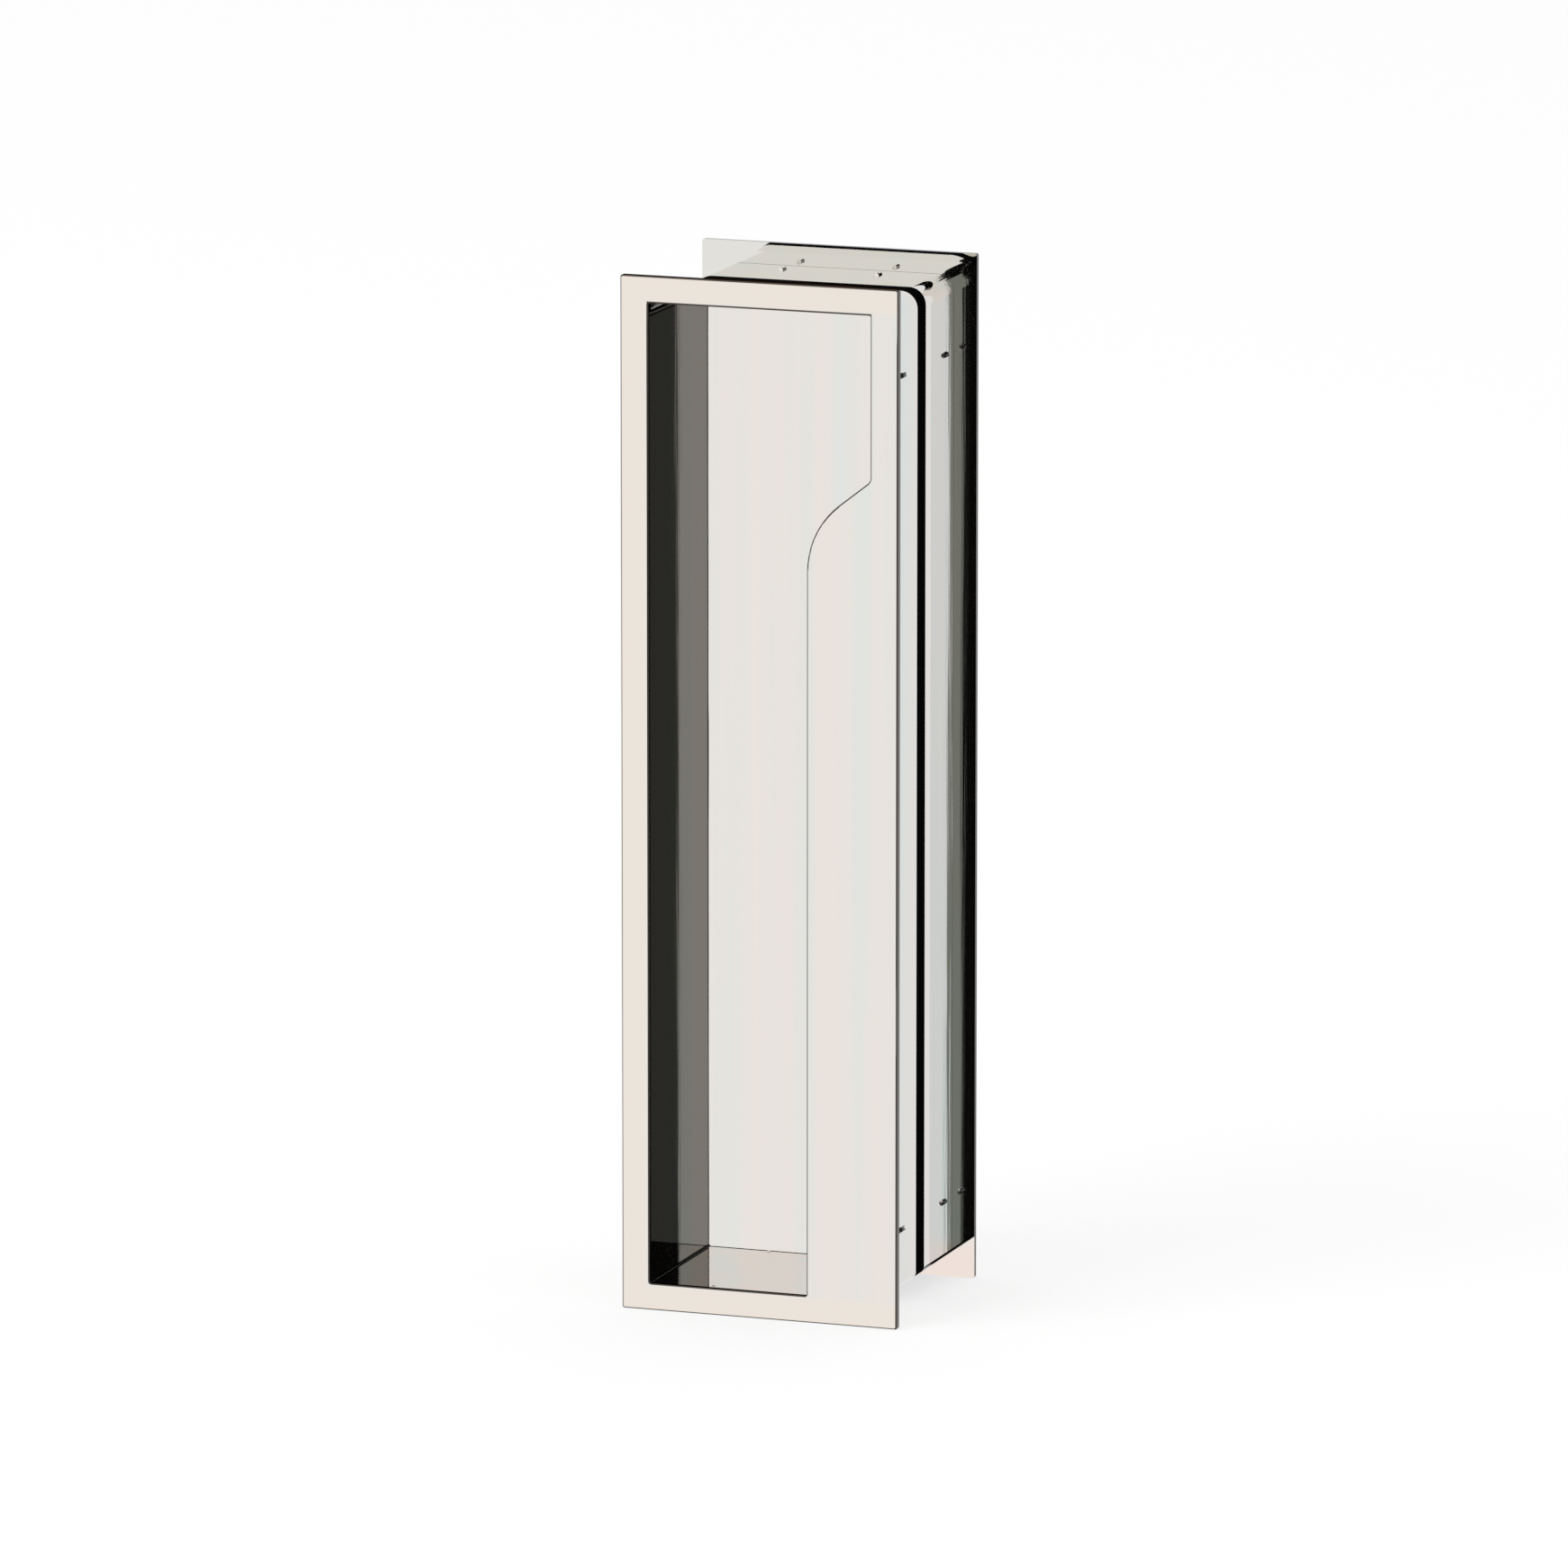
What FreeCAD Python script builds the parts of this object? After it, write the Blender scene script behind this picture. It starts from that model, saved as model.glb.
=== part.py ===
import FreeCAD, Part
import math
import os
from FreeCAD import Vector

# Two-sided recessed pull handle for a sliding door, all sizes in millimetres.
# Frame: origin at the centre of the door's cut-out, on the door's front face,
# +X to the right, +Y into the door, +Z up.

DOOR_T = 40.0            # door thickness, held between the two plates

# Face plates: the front and the rear one are cut to the same outline.
PLATE_W = 50.0
PLATE_H = 180.0
PLATE_T = 1.2
PLATE_CORNER_R = 0.4
EDGE_BREAK = 0.3         # rounding of the edges that a hand meets
BORDER_SIDE = 5.0        # plate left beside the opening
BORDER_END = 4.7         # plate left above and below the opening

# Shaped opening: a wide mouth at the top, then a ramp and a long curve
# that lead into the narrow finger slot beside the pull cover.
COVER_W = 11.4           # cover that the fingers hook behind, beside the slot
SHOULDER_DROP = 28.4     # from the top of the opening to the top of the ramp
RAMP_ANGLE = 38.0        # ramp of the cover's upper edge, from the horizontal
SWEEP_R = 15.0           # curve from the ramp into the slot's edge, or the room there
SHOULDER_R = 1.5         # rounding where the ramp meets the side of the mouth
MOUTH_R = 0.35           # corners of the opening

# Shells: strips bent into rounded rectangular tubes, one behind each plate.
SHELL_T = 0.85
SHELL_TOP_R = 3.0        # outside radius of the upper bends
SHELL_BOTTOM_R = 1.1     # outside radius of the lower ones, which are folded sharp
GROOVE_D = 0.3           # groove in the plate's back that the shell's rim sits in
GROOVE_CLEAR = 0.02      # room around the rim, outside the shell
FRONT_SHELL_L = 20.8
RECESS_DEPTH = 15.3      # from the front of the face plate to the recess wall
BACK_T = 0.8

# Rubber ring between the two shells.
RING_W = 4.4             # width of the band that shows
RING_T = 3.0
RING_BORE_R = 0.6
SPIGOT_L = 3.0           # part of the ring that plugs into the front shell

# Grip nubs on the shells, and tacks at the seam of the front shell and its plate.
NUB_R = 0.45
NUB_L = 2.8
NUB_END_L = 0.5
NUB_TIP_R = 0.15
NUB_FROM_TOP = 13.2      # nubs on the side walls, from the shell's ends
NUB_FROM_BOTTOM = 10.4
NUB_X = 8.7              # nubs on the end walls, to each side of the middle
FRONT_NUB_Y = 13.3
REAR_NUB_INSET = 4.7     # from the rear plate to the middle of a rear nub
TACK_R = 0.3

# Two screws draw the halves together, through the rear wall into the posts.
POST_D = 8.0
POST_FROM_END = 16.0     # from the recess's ends to the middle of a post
SCREW_D = 4.0
SCREW_CLEAR = 0.2        # clearance of the screw in the wall, on the radius
THREAD_L = 7.0           # screw engaged in the post
BORE_SPARE = 1.5         # bore left free beyond the screw's tip
HEAD_D = 7.6
HEAD_H = 2.2
HEAD_BEVEL = 0.6
SOCKET_AF = 2.5
SOCKET_DEPTH = 1.2

ROOM_USED = 0.95         # share of the ramp's length that its curve may take
FLAT = 1e-4

OPEN_W = PLATE_W - 2 * BORDER_SIDE
OPEN_H = PLATE_H - 2 * BORDER_END
SHELL_IN_W = OPEN_W
SHELL_IN_H = OPEN_H
SHELL_OUT_W = SHELL_IN_W + 2 * SHELL_T
SHELL_OUT_H = SHELL_IN_H + 2 * SHELL_T
SHELL_IN_RADII = (SHELL_BOTTOM_R - SHELL_T, SHELL_TOP_R - SHELL_T)
FRONT_BACK_Y = RECESS_DEPTH - PLATE_T
REAR_SHELL_Y = FRONT_SHELL_L + RING_W
REAR_SHELL_L = DOOR_T - REAR_SHELL_Y
POST_Y = FRONT_BACK_Y + BACK_T
POST_X = -COVER_W / 2
POST_Z = SHELL_IN_H / 2 - POST_FROM_END
NUB_LEVELS = (NUB_FROM_BOTTOM - SHELL_OUT_H / 2, SHELL_OUT_H / 2 - NUB_FROM_TOP)
REAR_WALL_Y = REAR_SHELL_Y + BACK_T


def rounded_outline(corners, radii, y):
    """Closed wire in the plane at y, straight runs with an arc at each corner."""
    count = len(corners)
    starts = []
    ends = []
    middles = []
    for i in range(count):
        here = Vector(corners[i][0], y, corners[i][1])
        before = Vector(corners[i - 1][0], y, corners[i - 1][1])
        after = Vector(corners[(i + 1) % count][0], y, corners[(i + 1) % count][1])
        to_before = (before - here).normalize()
        to_after = (after - here).normalize()
        half = to_before.getAngle(to_after) / 2
        reach = radii[i] / math.tan(half)
        bisector = (to_before + to_after).normalize()
        centre = here + bisector * (radii[i] / math.sin(half))
        starts.append(here + to_before * reach)
        middles.append(centre - bisector * radii[i])
        ends.append(here + to_after * reach)
    edges = []
    for i in range(count):
        edges.append(Part.Arc(starts[i], middles[i], ends[i]).toShape())
        edges.append(Part.LineSegment(ends[i], starts[(i + 1) % count]).toShape())
    return Part.Wire(edges)


def prism(outline, length):
    return Part.Face(outline).extrude(Vector(0, length, 0))


def rounded_box(width, height, radii, y, length):
    """Box along Y whose lower and upper corners have the two radii."""
    w = width / 2
    h = height / 2
    low, high = radii
    corners = [(-w, -h), (w, -h), (w, h), (-w, h)]
    return prism(rounded_outline(corners, [low, low, high, high], y), length)


def shaped_opening(y, length):
    """Prism of the opening: mouth, shoulder, ramp, sweep and finger slot."""
    left = -OPEN_W / 2
    right = OPEN_W / 2
    top = OPEN_H / 2
    cover = right - COVER_W
    shoulder = top - SHOULDER_DROP
    slope = math.radians(RAMP_ANGLE)
    foot = shoulder - COVER_W * math.tan(slope)
    turn = math.tan((math.pi / 2 - slope) / 2)
    room = COVER_W / math.cos(slope) / turn - SHOULDER_R
    sweep = min(SWEEP_R, ROOM_USED * room)
    corners = [
        (left, -top),
        (cover, -top),
        (cover, foot),
        (right, shoulder),
        (right, top),
        (left, top),
    ]
    radii = [MOUTH_R, MOUTH_R, sweep, SHOULDER_R, MOUTH_R, MOUTH_R]
    return prism(rounded_outline(corners, radii, y), length)


def edges_at(shape, y):
    found = []
    for edge in shape.Edges:
        box = edge.BoundBox
        if abs(box.YMin - y) < FLAT and abs(box.YMax - y) < FLAT:
            found.append(edge)
    return found


def shell_outside(y, length, spare=0.0):
    """Solid with the outline of the shells, larger by spare on every side."""
    radii = (SHELL_BOTTOM_R + spare, SHELL_TOP_R + spare)
    return rounded_box(SHELL_OUT_W + 2 * spare, SHELL_OUT_H + 2 * spare, radii, y, length)


def shell_inside(y, length):
    return rounded_box(SHELL_IN_W, SHELL_IN_H, SHELL_IN_RADII, y, length)


def tube(y, length, spare=0.0):
    """Rounded rectangular tube of the shells, its outside larger by spare."""
    return shell_outside(y, length, spare).cut(shell_inside(y, length))


def plate(y, outer_y, groove_y):
    """Plate with the shaped opening and the groove for the shell's rim.

    Its edges are broken on the side at outer_y.
    """
    blank = rounded_box(PLATE_W, PLATE_H, (PLATE_CORNER_R, PLATE_CORNER_R), y, PLATE_T)
    cut = blank.cut(shaped_opening(y, PLATE_T))
    broken = cut.makeFillet(EDGE_BREAK, edges_at(cut, outer_y))
    return broken.cut(tube(groove_y, GROOVE_D, GROOVE_CLEAR))


def nub(x, y, z):
    """Bump drawn out along the shell's depth, with tapered ends."""
    along = Vector(0, 1, 0)
    run = NUB_L - 2 * NUB_END_L
    start = Vector(x, y - run / 2, z)
    bar = Part.makeCylinder(NUB_R, run, start, along)
    near = Part.makeCone(NUB_R, NUB_TIP_R, NUB_END_L, start, along * -1)
    far = Part.makeCone(NUB_R, NUB_TIP_R, NUB_END_L, start + along * run, along)
    return bar.fuse([near, far])


def side_nubs(y):
    x = SHELL_OUT_W / 2
    return [nub(side * x, y, z) for side in (-1, 1) for z in NUB_LEVELS]


def end_nubs(y):
    z = SHELL_OUT_H / 2
    return [nub(sx * NUB_X, y, sz * z) for sx in (-1, 1) for sz in (-1, 1)]


def corner_tacks():
    """Tacks on the end walls of the front shell, where it meets the plate."""
    z = SHELL_IN_H / 2
    tacks = []
    for sx in (-1, 1):
        for sz in (-1, 1):
            foot = Vector(sx * NUB_X, 0, sz * z)
            tacks.append(Part.makeCone(TACK_R, NUB_TIP_R, TACK_R, foot, Vector(0, 1, 0)))
    return tacks


def front_shell():
    bumps = side_nubs(FRONT_NUB_Y) + corner_tacks()
    shell = tube(-GROOVE_D, GROOVE_D + FRONT_SHELL_L)
    return shell.fuse(bumps).removeSplitter()


def rear_shell():
    y = DOOR_T - REAR_NUB_INSET
    bumps = side_nubs(y) + end_nubs(y)
    shell = tube(REAR_SHELL_Y, REAR_SHELL_L + GROOVE_D)
    return shell.fuse(bumps).removeSplitter()


def front_back():
    return shell_inside(FRONT_BACK_Y, BACK_T)


def rear_back():
    wall = shell_inside(REAR_SHELL_Y, BACK_T)
    for sz in (-1, 1):
        start = Vector(POST_X, REAR_SHELL_Y, sz * POST_Z)
        hole = Part.makeCylinder(SCREW_D / 2 + SCREW_CLEAR, BACK_T, start, Vector(0, 1, 0))
        wall = wall.cut(hole)
    return wall


def joint_ring():
    """Rubber band flush with the shells, with a spigot inside the front one."""
    band = shell_outside(FRONT_SHELL_L, RING_W)
    spigot = shell_inside(FRONT_SHELL_L - SPIGOT_L, SPIGOT_L)
    bore = rounded_box(
        SHELL_OUT_W - 2 * RING_T,
        SHELL_OUT_H - 2 * RING_T,
        (RING_BORE_R, RING_BORE_R),
        FRONT_SHELL_L - SPIGOT_L,
        SPIGOT_L + RING_W,
    )
    return band.fuse(spigot).cut(bore).removeSplitter()


def post(side):
    """Threaded post between the two recess walls."""
    start = Vector(POST_X, POST_Y, side * POST_Z)
    along = Vector(0, 1, 0)
    length = REAR_SHELL_Y - POST_Y
    bore_l = THREAD_L + BORE_SPARE
    mouth = start + along * (length - bore_l)
    body = Part.makeCylinder(POST_D / 2, length, start, along)
    return body.cut(Part.makeCylinder(SCREW_D / 2, bore_l, mouth, along))


def screw(side):
    """Button-head screw, its head against the rear recess wall."""
    along = Vector(0, 1, 0)
    seat = Vector(POST_X, REAR_WALL_Y, side * POST_Z)
    head = Part.makeCylinder(HEAD_D / 2, HEAD_H, seat, along)
    head = head.makeChamfer(HEAD_BEVEL, edges_at(head, REAR_WALL_Y + HEAD_H))
    floor = seat + along * (HEAD_H - SOCKET_DEPTH)
    reach = SOCKET_AF / math.sqrt(3)
    ring = []
    for i in range(7):
        turn = math.radians(60 * i)
        ring.append(floor + Vector(reach * math.cos(turn), 0, reach * math.sin(turn)))
    socket = Part.Face(Part.makePolygon(ring)).extrude(along * SOCKET_DEPTH)
    shank_l = BACK_T + THREAD_L
    shank = Part.makeCylinder(SCREW_D / 2, shank_l, seat - along * shank_l, along)
    return head.cut(socket).fuse(shank).removeSplitter()


def sub_parts():
    return {
        "face_plate": plate(-PLATE_T, -PLATE_T, -GROOVE_D),
        "front_shell": front_shell(),
        "front_back": front_back(),
        "joint_ring": joint_ring(),
        "rear_back": rear_back(),
        "rear_shell": rear_shell(),
        "rear_plate": plate(DOOR_T, DOOR_T + PLATE_T, DOOR_T),
        "post_upper": post(1),
        "post_lower": post(-1),
        "screw_upper": screw(1),
        "screw_lower": screw(-1),
    }


os.makedirs("parts", exist_ok=True)
for name, shape in sub_parts().items():
    shape.exportStep("parts/" + name + ".step")
    box = shape.BoundBox
    print(name, shape.isValid(), len(shape.Solids), round(shape.Volume, 2),
          [round(v, 2) for v in (box.XMin, box.XMax, box.YMin, box.YMax, box.ZMin, box.ZMax)])
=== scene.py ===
import math

import bpy
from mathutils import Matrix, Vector


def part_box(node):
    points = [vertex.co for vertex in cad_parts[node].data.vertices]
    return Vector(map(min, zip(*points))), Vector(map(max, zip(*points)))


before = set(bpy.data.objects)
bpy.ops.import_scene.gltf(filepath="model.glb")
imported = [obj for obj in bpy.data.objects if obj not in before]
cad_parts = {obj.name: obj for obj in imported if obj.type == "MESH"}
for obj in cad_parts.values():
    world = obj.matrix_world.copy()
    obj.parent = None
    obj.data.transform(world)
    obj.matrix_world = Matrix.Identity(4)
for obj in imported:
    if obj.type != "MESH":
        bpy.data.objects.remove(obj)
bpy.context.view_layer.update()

# Looks of the recessed pull handle, in metres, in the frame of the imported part:
# +X to the right, +Y into the door, +Z up, the front of the door at Y = 0.

plate_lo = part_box("face_plate")[0]
rear_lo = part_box("rear_shell")[0]

PLATE_FRONT_Y = plate_lo.y
FLOOR_Z = plate_lo.z

# Camera, fitted to the corners of both plates and the outline of the opening.
CAMERA_AZIMUTH = 19.508
CAMERA_ELEVATION = 11.218
CAMERA_DISTANCE = 2.4233
CAMERA_LENS = 327.0
CAMERA_TARGET = Vector((0.004543, PLATE_FRONT_Y, 0.003831))

# Colours are linear.
WHITE = (1, 1, 1)
STEEL = (0.80, 0.765, 0.73)
STEEL_WARM = (0.83, 0.765, 0.72)
STEEL_COOL = (0.75, 0.775, 0.745)
# Painted shade for the plates' edges and the opening's upper edge, over the cut's own darker grey.
CUT_EDGE_SHADE = (0.10, 0.085, 0.075)
# Painted shade: dark marks in the recess's lower corners, on the shells' bends and at the nubs.
PAINTED_DARK = (0.012, 0.011, 0.010)
# Painted reflections: a warmer tint on the front plate's border, and tints toward the rear plate's
# top and foot.
BORDER_REFLECTION = (0.835, 0.772, 0.703)
REAR_TOP_REFLECTION = (0.755, 0.745, 0.700)
REAR_FOOT_REFLECTION = (0.860, 0.750, 0.690)
PLAIN_STEEL = (0.42, 0.41, 0.39)
RUBBER = (0.0006, 0.0006, 0.0008)

# Scales of the noise along X, Y and Z, and the roughness and bumps that it gives.
STREAKS = (260, 260, 3.0)
SCRATCHES = (900, 900, 14.0)
TURNED_LINES = (300, 2500, 300)
RUBBER_GRAIN = 2600.0
POLISHED_ROUGH = (0.008, 0.035)
PLAIN_ROUGH = (0.22, 0.42)
RUBBER_ROUGH = (0.55, 0.8)
BUMP_DEPTH = 0.0001

# Inside of both recesses: half the width, and the lower and the upper wall.
INSIDE_X = 0.0200
INSIDE_LOW = -0.0853
INSIDE_HIGH = 0.0853

# Masks on the steel, each from where it starts to where it is full. The first two
# follow the direction of the face, and the others the place on it.
FACE_TURNED = (0.9985, 0.96)
FACE_UPWARD = (0.5, 0.8)
BORDER_SIDE = (-0.0190, -0.0215)
BORDER_END = (0.0850, 0.0865)
REAR_TOP = (0.0820, 0.0860)
REAR_FOOT = (-0.0820, -0.0860)
SIDE_WALL = (INSIDE_X, INSIDE_X + 0.0006)
LOWER_FOLD = (rear_lo.z + 0.0016, rear_lo.z + 0.0013)

# Painted shade at the nubs on the shells' sides: dark marks in place of the nubs' dark reflection.
# Each is an ellipse, and its edge fades between two squared parts of its radius.
MARK_DEPTHS = (0.0122, 0.0353)
MARK_LEVELS = (0.0730, -0.0758)
MARK_LENGTH = 0.0036
MARK_HEIGHT = 0.0012
MARK_EDGE = (1.0, 0.5)

# Painted shade: a dark line along the upper edge of the opening, and darkened lower corners
# in the recess.
EDGE_LINE = 0.0003
EDGE_SOFT = 0.0001
EDGE_SIDE = (INSIDE_X + 0.0003, INSIDE_X + 0.0001)
CORNER_SHADE = 0.0005
CORNER_FULL = 0.8 * CORNER_SHADE
CORNER_SIDE = (INSIDE_X + 0.0004, INSIDE_X + 0.0002)

# Painted dark reflection on the front shell's upper left bend. Axis of the bend, left of the
# handle's middle and above it, the bend's outside radius, and the mask's limits measured from the
# axis.
BEND_X = 0.01785
BEND_Z = 0.08315
BEND_R = 0.0030
BEND_REACH = (BEND_R - 0.00003, BEND_R - 0.00012)
BEND_SIDE = (0.0001, -0.0001)
BEND_UP = (-0.0004, -0.0002)

# Slope of the rear plate's upper and lower rims out of its plane, the height at
# which it starts, where it fades toward the right edge, and its least share there.
REAR_LEAN = 0.0290
LEAN_START = 0.0884
LEAN_FADE = (0.0245, 0.0205)
LEAN_LEAST = 0.08

# Dark and pale cards around the handle, seen only as reflections in the steel.
# A card stands square to its azimuth. Points on it are measured to the right of
# the line through the handle's middle and up from that middle.
CARD_DISTANCE = 0.10
CARD_LOW = -0.30
CARD_TOP = 0.0645
BLACK = (0.003, 0.003, 0.003)
DARK = (0.0325, 0.0350, 0.0325)
GREY = (0.285, 0.290, 0.285)
OLIVE = (0.235, 0.260, 0.238)
COOL_WHITE = (0.93, 1.00, 1.06)
PALE = (0.88, 0.90, 0.91)
STRIPS = (
    ("card_0_black", -0.0470, -0.0187, BLACK),
    ("card_1_grey", -0.0187, -0.0127, GREY),
    ("card_3_black", 0.0060, 0.0301, BLACK),
    ("card_4_olive", 0.0301, 0.0327, OLIVE),
    ("card_5_cool", 0.0327, 0.0600, COOL_WHITE),
)

# The dark strip has a window. Rays that come down the recess meet the dark card
# behind it, and those that its lower wall turns upward meet the black one.
DARK_STRIP = (-0.0127, 0.0060)
WINDOW = (-0.0630, -0.0510)
FAR_DISTANCE = 0.50
FAR_STRIP = (-0.0300, 0.0200)
FAR_LEVELS = (-0.200, -0.020, 0.090)

# The upper ends of the strips turn over in rings about one point, so that the
# shell's round upper bend mirrors them as the flat wall below it does.
RING_CENTRE = (-0.0190, 0.0830)
RING_STEPS = 24
RINGS = (
    ("card_7_black", 0.0000, 0.0530, -21, 141, BLACK),
    ("card_8_olive", 0.0530, 0.0562, -20, 60, OLIVE),
    ("card_9_black", 0.0530, 0.0562, 60, 141, BLACK),
    ("card_10_black", 0.0562, 0.0578, 76, 141, BLACK),
    ("card_11_black", 0.0578, 0.0592, 98, 141, BLACK),
    ("card_12_black", 0.0592, 0.0605, 115, 141, BLACK),
)

# Pale card behind the handle.
BEHIND_STRIP = (-0.0300, 0.0700)
BEHIND_TOP = 0.180

# Colour of the floor, and the share of plain white in what the camera sees of it.
# The studio is dimmer for matte surfaces than for mirrors.
FLOOR_REACH = 12.0
FLOOR_COLOUR = (0.95, 0.95, 0.95)
FLOOR_WHITE = 0.70
STUDIO_DIM = 0.92
LAMP_SIZE = (1.6, 1.2)
LAMP_POWER = 24
LAMP_PLACE = Vector((-1.2, -1.6, 2.0))


def nodes_of(owner):
    """Nodes and links of a material or world, emptied first."""
    owner.use_nodes = True
    tree = owner.node_tree
    tree.nodes.clear()
    return tree.nodes, tree.links


def add(nodes, kind, **values):
    """Adds a node and sets its properties and the inputs that are named."""
    node = nodes.new(kind)
    for name, value in values.items():
        if hasattr(node, name):
            setattr(node, name, value)
        else:
            node.inputs[name.replace("_", " ")].default_value = value
    return node


def rgba(colour):
    return (*colour, 1.0)


def stretched_noise(nodes, links, coords, stretch):
    """Noise scaled apart along X, Y and Z, for streaks and fine lines."""
    mapping = add(nodes, "ShaderNodeMapping", Scale=stretch)
    links.new(coords, mapping.inputs["Vector"])
    noise = add(nodes, "ShaderNodeTexNoise", Scale=1.0, Detail=3.0)
    links.new(mapping.outputs["Vector"], noise.inputs["Vector"])
    return noise.outputs["Fac"]


def ramp(nodes, links, fac, stops):
    node = add(nodes, "ShaderNodeValToRGB")
    line = node.color_ramp
    while len(line.elements) < len(stops):
        line.elements.new(0.5)
    for element, (place, colour) in zip(line.elements, stops):
        element.position = place
        element.color = rgba(colour)
    links.new(fac, node.inputs["Fac"])
    return node.outputs["Color"]


def math_node(nodes, links, operation, first, *others):
    """Math node on a socket and on further sockets or numbers."""
    node = add(nodes, "ShaderNodeMath", operation=operation)
    for place, value in enumerate((first, *others)):
        if isinstance(value, (int, float)):
            node.inputs[place].default_value = value
        else:
            links.new(value, node.inputs[place])
    return node.outputs["Value"]


def rise(nodes, links, value, start, end):
    """0 up to start and 1 from end on, or the other way where end is lower."""
    node = add(nodes, "ShaderNodeMapRange", interpolation_type="SMOOTHSTEP")
    node.inputs["From Min"].default_value = start
    node.inputs["From Max"].default_value = end
    links.new(value, node.inputs["Value"])
    return node.outputs["Result"]


def blend(nodes, links, share, colour, other):
    """Colour where share is 0 and the other, a fixed colour, where it is 1."""
    mix = add(nodes, "ShaderNodeMix", data_type="RGBA")
    links.new(share, mix.inputs["Factor"])
    links.new(colour, mix.inputs[6])
    mix.inputs[7].default_value = rgba(other)
    return mix.outputs[2]


# The masks that go into patches all take the coordinates and the place of a point,
# and each reads one of the two.


def cut_edges(nodes, links, coords, place):
    """1 where a plate turns away from its flat faces, at its cut edges, where painted shade for the
    edges' dark reflection lies over the cut's own darker grey.
    """
    parts = add(nodes, "ShaderNodeSeparateXYZ")
    links.new(coords.outputs["Normal"], parts.inputs["Vector"])
    facing = math_node(nodes, links, "ABSOLUTE", parts.outputs["Y"])
    return rise(nodes, links, facing, *FACE_TURNED)


def front_border_reflection(nodes, links, coords, place):
    """1 on the front plate's border, left, above and below the opening, where a warmer reflection is
    painted.
    """
    height = math_node(nodes, links, "ABSOLUTE", place.outputs["Z"])
    left = rise(nodes, links, place.outputs["X"], *BORDER_SIDE)
    return math_node(nodes, links, "MAXIMUM", left, rise(nodes, links, height, *BORDER_END))


def rear_top_reflection(nodes, links, coords, place):
    """1 toward the rear plate's top, where a reflection tint is painted."""
    return rise(nodes, links, place.outputs["Z"], *REAR_TOP)


def rear_foot_reflection(nodes, links, coords, place):
    """1 toward the rear plate's foot, where a reflection tint is painted."""
    return rise(nodes, links, place.outputs["Z"], *REAR_FOOT)


def nub_shade_spot(nodes, links, place, depth, level):
    """1 inside an ellipse on a shell's side, about one depth and level."""
    run = math_node(nodes, links, "SUBTRACT", place.outputs["Y"], depth)
    run = math_node(nodes, links, "DIVIDE", run, MARK_LENGTH / 2)
    up = math_node(nodes, links, "SUBTRACT", place.outputs["Z"], level)
    up = math_node(nodes, links, "DIVIDE", up, MARK_HEIGHT / 2)
    run = math_node(nodes, links, "MULTIPLY", run, run)
    size = math_node(nodes, links, "MULTIPLY_ADD", up, up, run)
    return rise(nodes, links, size, *MARK_EDGE)


def nub_shade(nodes, links, coords, place):
    """1 at the dark marks on the shells' sides, where the nubs were set; the marks are painted shade
    for the nubs' dark reflection.
    """
    spots = [(depth, level) for depth in MARK_DEPTHS for level in MARK_LEVELS]
    share = nub_shade_spot(nodes, links, place, *spots[0])
    for spot in spots[1:]:
        mark = nub_shade_spot(nodes, links, place, *spot)
        share = math_node(nodes, links, "MAXIMUM", share, mark)
    out = math_node(nodes, links, "ABSOLUTE", place.outputs["X"])
    return math_node(nodes, links, "MULTIPLY", share, rise(nodes, links, out, *SIDE_WALL))


def between(nodes, links, value, low, high, soft):
    """1 between two values, with soft ends outside them."""
    up = rise(nodes, links, value, low - soft, low)
    return math_node(nodes, links, "MULTIPLY", up, rise(nodes, links, value, high + soft, high))


def upper_edge_shade(nodes, links, coords, place):
    """1 along the upper edge of the front plate's opening, where a shadow line is painted."""
    out = math_node(nodes, links, "ABSOLUTE", place.outputs["X"])
    top = INSIDE_HIGH + EDGE_LINE
    high = between(nodes, links, place.outputs["Z"], INSIDE_HIGH, top, EDGE_SOFT)
    return math_node(nodes, links, "MULTIPLY", high, rise(nodes, links, out, *EDGE_SIDE))


def upper_bend_shade(nodes, links, coords, place):
    """1 on the inside and the rim of the front shell's upper left bend, where a dark reflection is
    painted.
    """
    side = math_node(nodes, links, "ADD", place.outputs["X"], BEND_X)
    up = math_node(nodes, links, "SUBTRACT", place.outputs["Z"], BEND_Z)
    square = math_node(nodes, links, "MULTIPLY", side, side)
    reach = math_node(nodes, links, "SQRT", math_node(nodes, links, "MULTIPLY_ADD", up, up, square))
    share = rise(nodes, links, reach, *BEND_REACH)
    share = math_node(nodes, links, "MULTIPLY", share, rise(nodes, links, side, *BEND_SIDE))
    return math_node(nodes, links, "MULTIPLY", share, rise(nodes, links, up, *BEND_UP))


def front_corner_shade(nodes, links, coords, place):
    """1 along the lower corners inside the front recess, where shade is painted."""
    out = math_node(nodes, links, "ABSOLUTE", place.outputs["X"])
    height = place.outputs["Z"]
    share = rise(nodes, links, out, INSIDE_X - CORNER_SHADE, INSIDE_X - CORNER_FULL)
    share = math_node(nodes, links, "MULTIPLY", share, rise(nodes, links, out, *CORNER_SIDE))
    low = rise(nodes, links, height, INSIDE_LOW + CORNER_SHADE, INSIDE_LOW + CORNER_FULL)
    return math_node(nodes, links, "MULTIPLY", share, low)


def rear_bend_shade(nodes, links, coords, place):
    """1 along the lower bends outside the rear shell, where shade is painted."""
    return rise(nodes, links, place.outputs["Z"], *LOWER_FOLD)


def principled(nodes, links, **values):
    """Adds the shader, with the output that it feeds."""
    shader = add(nodes, "ShaderNodeBsdfPrincipled", **values)
    out = add(nodes, "ShaderNodeOutputMaterial")
    links.new(shader.outputs["BSDF"], out.inputs["Surface"])
    return shader


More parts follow.
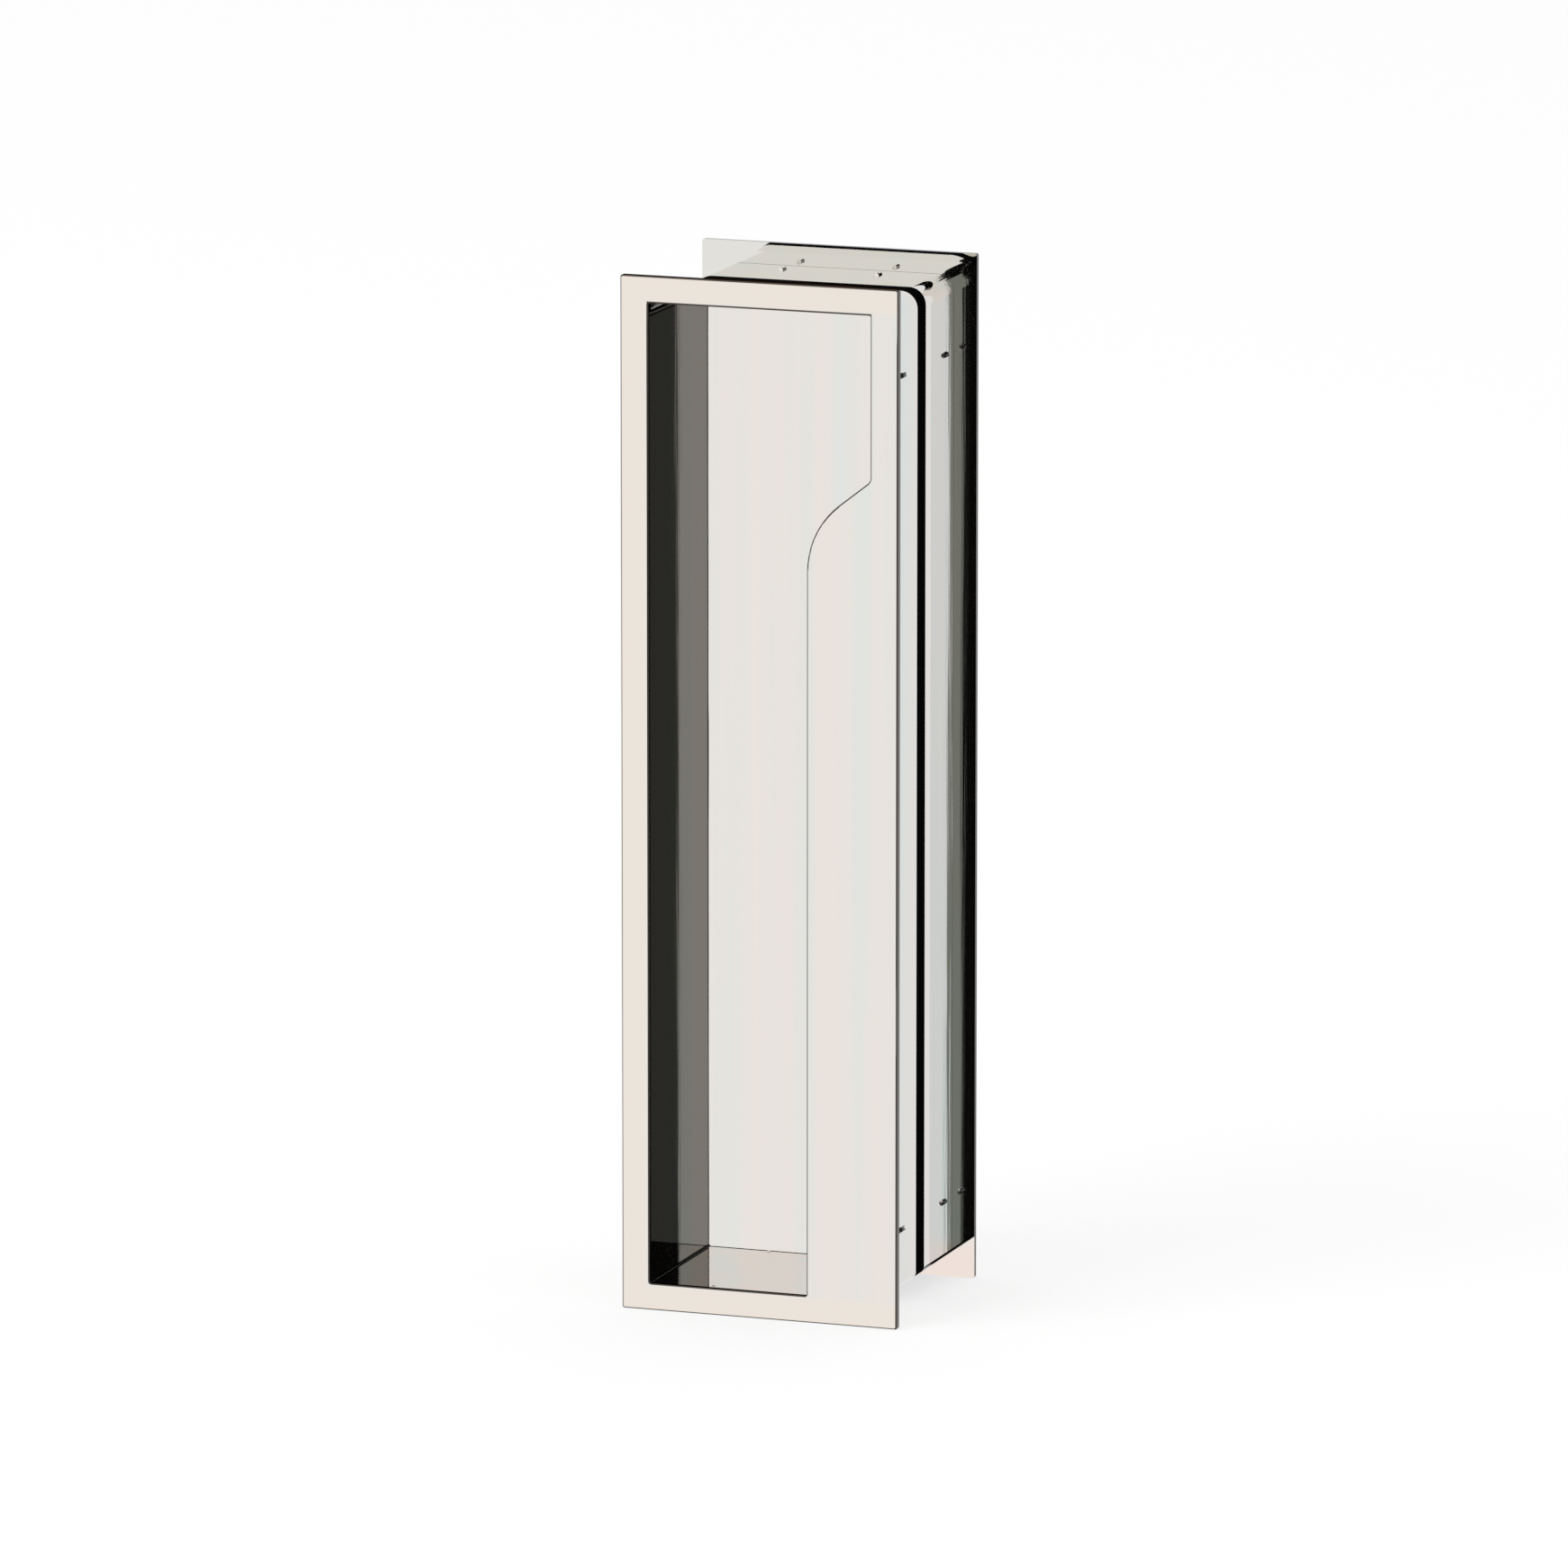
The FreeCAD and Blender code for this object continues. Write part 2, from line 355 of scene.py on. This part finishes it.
def wear(nodes, links, shader, height, rough, strength, spread=(0.0, 1.0)):
    """Lets roughness follow height over its spread, and gives the bump's normal."""
    level = add(
        nodes, "ShaderNodeMapRange",
        From_Min=spread[0], From_Max=spread[1], To_Min=rough[0], To_Max=rough[1],
    )
    links.new(height, level.inputs["Value"])
    links.new(level.outputs["Result"], shader.inputs["Roughness"])
    bump = add(nodes, "ShaderNodeBump", Strength=strength, Distance=BUMP_DEPTH)
    links.new(height, bump.inputs["Height"])
    return bump.outputs["Normal"]


def darkened_top_reflection(nodes, links, coords):
    """Painted shade: tint of the grazing reflection, dark on faces that look upward."""
    parts = add(nodes, "ShaderNodeSeparateXYZ")
    links.new(coords.outputs["Normal"], parts.inputs["Vector"])
    grazing = add(nodes, "ShaderNodeMix", data_type="RGBA")
    grazing.inputs[6].default_value = rgba(WHITE)
    grazing.inputs[7].default_value = rgba(CUT_EDGE_SHADE)
    upward = rise(nodes, links, parts.outputs["Z"], *FACE_UPWARD)
    links.new(upward, grazing.inputs["Factor"])
    return grazing.outputs[2]


def leaning(nodes, links, place, lean, normal):
    """Normal of rims that lean out of the plate's plane."""
    height = math_node(nodes, links, "ABSOLUTE", place.outputs["Z"])
    beyond = math_node(nodes, links, "SUBTRACT", height, LEAN_START)
    beyond = math_node(nodes, links, "MAXIMUM", beyond, 0.0)
    inward = rise(nodes, links, place.outputs["X"], *LEAN_FADE)
    least = LEAN_LEAST * lean
    slope = math_node(nodes, links, "MULTIPLY_ADD", inward, (1 - LEAN_LEAST) * lean, least)
    tilt = add(nodes, "ShaderNodeBump", Strength=1.0, Distance=1.0)
    links.new(math_node(nodes, links, "MULTIPLY", beyond, slope), tilt.inputs["Height"])
    links.new(normal, tilt.inputs["Normal"])
    return tilt.outputs["Normal"]


def polished_steel(name, patches=(), lean=0.0, dark_top_reflection=False):
    """Mirror-polished sheet with faint streaks and fine scratches.

    patches are masks with their colours, and lean is the slope of the plate's
    upper and lower rims out of its plane.
    """
    material = bpy.data.materials.new(name)
    nodes, links = nodes_of(material)
    shader = principled(nodes, links, Metallic=1.0)
    coords = add(nodes, "ShaderNodeTexCoord")
    place = add(nodes, "ShaderNodeSeparateXYZ")
    links.new(coords.outputs["Object"], place.inputs["Vector"])

    streaks = stretched_noise(nodes, links, coords.outputs["Object"], STREAKS)
    colour = ramp(nodes, links, streaks, ((0.30, STEEL_COOL), (0.50, STEEL), (0.70, STEEL_WARM)))
    for mask, shade in patches:
        colour = blend(nodes, links, mask(nodes, links, coords, place), colour, shade)
    links.new(colour, shader.inputs["Base Color"])
    if dark_top_reflection:
        links.new(darkened_top_reflection(nodes, links, coords), shader.inputs["Specular Tint"])

    scratches = stretched_noise(nodes, links, coords.outputs["Object"], SCRATCHES)
    normal = wear(nodes, links, shader, scratches, POLISHED_ROUGH, strength=0.02, spread=(0.3, 0.75))
    if lean:
        normal = leaning(nodes, links, place, lean, normal)
    links.new(normal, shader.inputs["Normal"])
    return material


def plain_steel(name):
    """Turned steel of the posts and screws."""
    material = bpy.data.materials.new(name)
    nodes, links = nodes_of(material)
    shader = principled(nodes, links, Metallic=1.0)
    coords = add(nodes, "ShaderNodeTexCoord")
    turned = stretched_noise(nodes, links, coords.outputs["Object"], TURNED_LINES)
    dark = tuple(0.75 * v for v in PLAIN_STEEL)
    colour = ramp(nodes, links, turned, ((0.35, dark), (0.65, PLAIN_STEEL)))
    links.new(colour, shader.inputs["Base Color"])
    normal = wear(nodes, links, shader, turned, PLAIN_ROUGH, strength=0.15)
    links.new(normal, shader.inputs["Normal"])
    return material


def black_rubber(name):
    """Dull black rubber of the joint ring, with a little dust."""
    material = bpy.data.materials.new(name)
    nodes, links = nodes_of(material)
    shader = principled(nodes, links, Specular_IOR_Level=0.001)
    coords = add(nodes, "ShaderNodeTexCoord")
    grain = add(nodes, "ShaderNodeTexNoise", Scale=RUBBER_GRAIN, Detail=4.0)
    links.new(coords.outputs["Object"], grain.inputs["Vector"])
    dusty = tuple(3 * v for v in RUBBER)
    colour = ramp(nodes, links, grain.outputs["Fac"], ((0.4, RUBBER), (0.7, dusty)))
    links.new(colour, shader.inputs["Base Color"])
    normal = wear(nodes, links, shader, grain.outputs["Fac"], RUBBER_ROUGH, strength=0.3)
    links.new(normal, shader.inputs["Normal"])
    return material


def dress(node, material):
    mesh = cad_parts[node].data
    mesh.materials.clear()
    mesh.materials.append(material)


def flat_piece(name, corners, material):
    mesh = bpy.data.meshes.new(name)
    mesh.from_pydata(corners, [], [tuple(range(len(corners)))])
    thing = bpy.data.objects.new(name, mesh)
    thing.data.materials.append(material)
    bpy.context.scene.collection.objects.link(thing)
    return thing


def glow(name, colour):
    """Material that gives off an even light of one colour."""
    material = bpy.data.materials.new(name)
    nodes, links = nodes_of(material)
    out = add(nodes, "ShaderNodeOutputMaterial")
    light = add(nodes, "ShaderNodeEmission", Color=rgba(colour), Strength=1.0)
    links.new(light.outputs["Emission"], out.inputs["Surface"])
    return material


def strip(start, end, low, high):
    """Corners of a rectangle between two sides and two levels."""
    return [(start, low), (end, low), (end, high), (start, high)]


def ring_part(inner, outer, first, last):
    """Part of a flat ring about RING_CENTRE, between two angles in degrees."""
    sweep = last - first
    turns = [math.radians(first + sweep * i / RING_STEPS) for i in range(RING_STEPS + 1)]
    rim = [(outer, turn) for turn in turns] + [(inner, turn) for turn in reversed(turns)]
    middle, level = RING_CENTRE
    return [(middle + r * math.cos(turn), level + r * math.sin(turn)) for r, turn in rim]


def card(name, azimuth, points, shade, distance=CARD_DISTANCE):
    """Upright card, square to its azimuth, that only mirrors can see."""
    turn = math.radians(azimuth)
    out_way = Vector((math.sin(turn), -math.cos(turn), 0))
    across = Vector((math.cos(turn), math.sin(turn), 0))
    base = Vector((0, PLATE_FRONT_Y, 0)) + out_way * distance
    corners = [base + across * side + Vector((0, 0, level)) for side, level in points]
    thing = flat_piece(name, corners, glow(name, shade))
    thing.visible_camera = False
    thing.visible_diffuse = False
    thing.visible_transmission = False
    thing.visible_volume_scatter = False
    thing.visible_shadow = False


def cards():
    """All cards, with the dark strip in two parts and the two behind its window."""
    for name, start, end, shade in STRIPS:
        card(name, CAMERA_AZIMUTH, strip(start, end, CARD_LOW, CARD_TOP), shade)
    low, high = WINDOW
    card("card_2_dark_low", CAMERA_AZIMUTH, strip(*DARK_STRIP, CARD_LOW, low), DARK)
    card("card_2_dark_high", CAMERA_AZIMUTH, strip(*DARK_STRIP, high, CARD_TOP), DARK)
    bottom, middle, top = FAR_LEVELS
    card("card_13_dark", CAMERA_AZIMUTH, strip(*FAR_STRIP, bottom, middle), DARK, FAR_DISTANCE)
    card("card_14_black", CAMERA_AZIMUTH, strip(*FAR_STRIP, middle, top), BLACK, FAR_DISTANCE)
    for name, inner, outer, first, last, shade in RINGS:
        card(name, CAMERA_AZIMUTH, ring_part(inner, outer, first, last), shade)
    behind = strip(*BEHIND_STRIP, CARD_LOW, BEHIND_TOP)
    card("card_6_pale", 180 - CAMERA_AZIMUTH, behind, PALE)


def floor():
    """Pale floor that keeps the shadow, with a white seen by the camera."""
    material = bpy.data.materials.new("floor")
    nodes, links = nodes_of(material)
    out = add(nodes, "ShaderNodeOutputMaterial")
    matte = add(nodes, "ShaderNodeBsdfDiffuse", Color=rgba(FLOOR_COLOUR))
    white = add(nodes, "ShaderNodeEmission", Color=rgba(WHITE), Strength=1.0)
    path = add(nodes, "ShaderNodeLightPath")
    share = math_node(nodes, links, "MULTIPLY", path.outputs["Is Camera Ray"], FLOOR_WHITE)
    mix = add(nodes, "ShaderNodeMixShader")
    links.new(share, mix.inputs["Fac"])
    links.new(matte.outputs["BSDF"], mix.inputs[1])
    links.new(white.outputs["Emission"], mix.inputs[2])
    links.new(mix.outputs["Shader"], out.inputs["Surface"])
    outline = strip(-FLOOR_REACH, FLOOR_REACH, -FLOOR_REACH, FLOOR_REACH)
    thing = flat_piece("floor", [(x, y, FLOOR_Z) for x, y in outline], material)
    thing.visible_glossy = False


def studio():
    """Even white studio, a little dimmer for matte surfaces."""
    world = bpy.data.worlds.new("studio")
    bpy.context.scene.world = world
    nodes, links = nodes_of(world)
    out = add(nodes, "ShaderNodeOutputWorld")
    back = add(nodes, "ShaderNodeBackground", Color=rgba(WHITE))
    path = add(nodes, "ShaderNodeLightPath").outputs
    seen = math_node(nodes, links, "MAXIMUM", path["Is Camera Ray"], path["Is Glossy Ray"])
    level = add(nodes, "ShaderNodeMapRange", To_Min=STUDIO_DIM, To_Max=1.0)
    links.new(seen, level.inputs["Value"])
    links.new(level.outputs["Result"], back.inputs["Strength"])
    links.new(back.outputs["Background"], out.inputs["Surface"])


def softbox():
    """Soft lamp that only lights matte surfaces."""
    lamp = bpy.data.lights.new("softbox", "AREA")
    lamp.shape = "RECTANGLE"
    lamp.size, lamp.size_y = LAMP_SIZE
    lamp.energy = LAMP_POWER
    thing = bpy.data.objects.new("softbox", lamp)
    thing.location = LAMP_PLACE
    thing.rotation_euler = (-LAMP_PLACE).to_track_quat("-Z", "Y").to_euler()
    thing.visible_glossy = False
    bpy.context.scene.collection.objects.link(thing)


def camera():
    turn = math.radians(CAMERA_AZIMUTH)
    lift = math.radians(CAMERA_ELEVATION)
    back = Vector((
        math.sin(turn) * math.cos(lift),
        -math.cos(turn) * math.cos(lift),
        math.sin(lift),
    ))
    data = bpy.data.cameras.new("camera")
    data.lens = CAMERA_LENS
    data.sensor_width = 36.0
    data.clip_start = 0.1
    data.clip_end = 100.0
    thing = bpy.data.objects.new("camera", data)
    thing.location = CAMERA_TARGET + back * CAMERA_DISTANCE
    thing.rotation_euler = (-back).to_track_quat("-Z", "Y").to_euler()
    bpy.context.scene.collection.objects.link(thing)
    bpy.context.scene.camera = thing


# Every patch paints light or shade into the steel's colour: painted reflections on the plates'
# borders and rims, painted shade on the edges over the cut's own darker grey, and painted shade in
# the recess, on the bends and at the nubs.
front_patches = ((front_border_reflection, BORDER_REFLECTION), (cut_edges, CUT_EDGE_SHADE), (upper_edge_shade, CUT_EDGE_SHADE))
rear_patches = ((rear_top_reflection, REAR_TOP_REFLECTION), (rear_foot_reflection, REAR_FOOT_REFLECTION), (cut_edges, CUT_EDGE_SHADE))
front_shell_patches = ((front_corner_shade, PAINTED_DARK), (upper_bend_shade, PAINTED_DARK), (nub_shade, PAINTED_DARK))
rear_shell_patches = ((nub_shade, PAINTED_DARK), (rear_bend_shade, PAINTED_DARK))
dress("face_plate", polished_steel("polished_front", front_patches, dark_top_reflection=True))
dress("rear_plate", polished_steel("polished_rear", rear_patches, lean=REAR_LEAN))
dress("front_shell", polished_steel("front_shell", front_shell_patches))
dress("rear_shell", polished_steel("rear_shell", rear_shell_patches))
wall = polished_steel("polished_wall")
dress("front_back", wall)
dress("rear_back", wall)
dress("joint_ring", black_rubber("rubber"))
plain = plain_steel("plain_steel")
for node in ("post_upper", "post_lower", "screw_upper", "screw_lower"):
    dress(node, plain)

cards()
floor()
studio()
softbox()
camera()

bpy.context.scene.view_settings.view_transform = "Standard"
